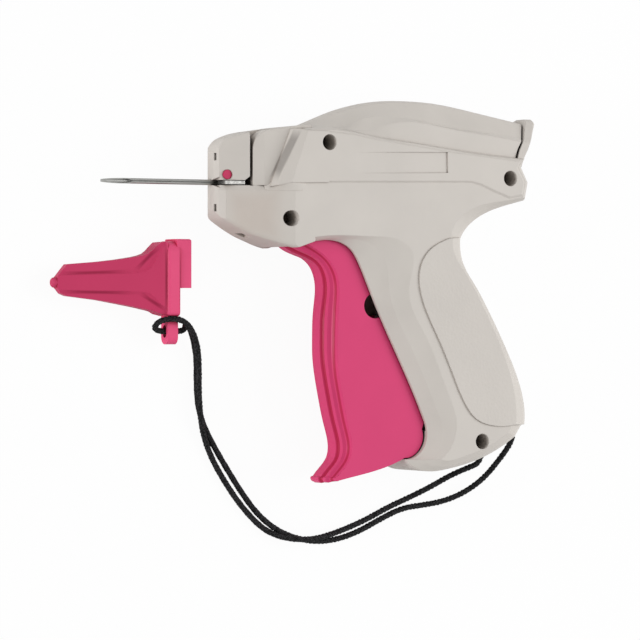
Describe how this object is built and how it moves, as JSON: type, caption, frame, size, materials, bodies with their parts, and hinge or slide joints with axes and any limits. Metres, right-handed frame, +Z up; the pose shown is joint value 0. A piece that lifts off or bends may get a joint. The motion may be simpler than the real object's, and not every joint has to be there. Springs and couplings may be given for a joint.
{
  "type": "garment tag attacher",
  "caption": "Hand-held tagging gun with a moulded two-part housing, hollow needle, squeeze trigger, and a tapered needle cap on a cord.",
  "frame": {"origin": "centre of the bounding box of the tool and its cap, at the surface that the tool lies on", "axes": "+X from the needle's point to the tail, +Y up the handle towards the hump, +Z up from the surface"},
  "size_m": [0.1958, 0.1655, 0.03],
  "materials": {
    "housing": "fine satin",
    "trigger": "satin",
    "cap": "satin",
    "lock": "satin",
    "steel": "polished",
    "screws": "dark",
    "nylon": "natural",
    "cord": "braided"
  },
  "bodies": {
    "housing": {"left_housing": "housing", "right_housing": "housing", "housing_screws": "screws", "needle": "steel", "needle_hub": "steel", "knife": "steel", "guide_block": "steel", "feed_axle": "steel", "feed_pawl": "steel", "trigger_pin": "steel", "fulcrum_pin": "steel", "return_spring": "steel", "lanyard_anchor": "cord", "lanyard_cord": "cord"},
    "trigger": {"trigger": "trigger", "drive_pin": "steel"},
    "lever": {"drive_lever": "steel", "tip_pin": "steel"},
    "carriage": {"carriage": "nylon", "push_rod": "steel"},
    "feed_wheel": {"feed_wheel": "nylon"},
    "needle_lock": {"needle_lock": "lock"},
    "needle_cap": {"needle_cap": "cap"}
  },
  "joints": [
    {"name": "trigger_squeeze", "type": "hinge", "parent": "housing", "child": "trigger", "pos_m": [0.0382, -0.0542, 0.015], "axis": [0, 0, 1], "range_deg": [-14, 0], "stiffness_Nm_per_rad": 2.5, "springref_deg": 4.58, "deforming": ["return_spring"]},
    {"name": "lever_swing", "type": "hinge", "parent": "housing", "child": "lever", "pos_m": [0.039, -0.0039, 0.015], "axis": [0, 0, 1], "range_deg": [0, 53.8]},
    {"name": "carriage_slide", "type": "slide", "parent": "housing", "child": "carriage", "axis": [-1, 0, 0], "range_m": [0, 0.04407]},
    {"name": "feed_wheel_turn", "type": "hinge", "parent": "housing", "child": "feed_wheel", "pos_m": [-0.021, 0.0333, 0.015], "axis": [0, 0, 1], "continuous": true},
    {"name": "needle_lock_turn", "type": "hinge", "parent": "housing", "child": "needle_lock", "pos_m": [-0.0343, 0.0421, 0.015], "axis": [0, 0, 1], "range_deg": [0, 70]},
    {"name": "cap_draw", "type": "slide", "parent": "housing", "child": "needle_cap", "axis": [-1, 0, 0], "range_m": [0, 0.03], "deforming": ["lanyard_cord"]}
  ],
  "couplings": [
    {"joint": "lever_swing", "follows": "trigger_squeeze", "ratio": -3.8429},
    {"joint": "carriage_slide", "follows": "trigger_squeeze", "m_per_rad": -0.18036}
  ]
}
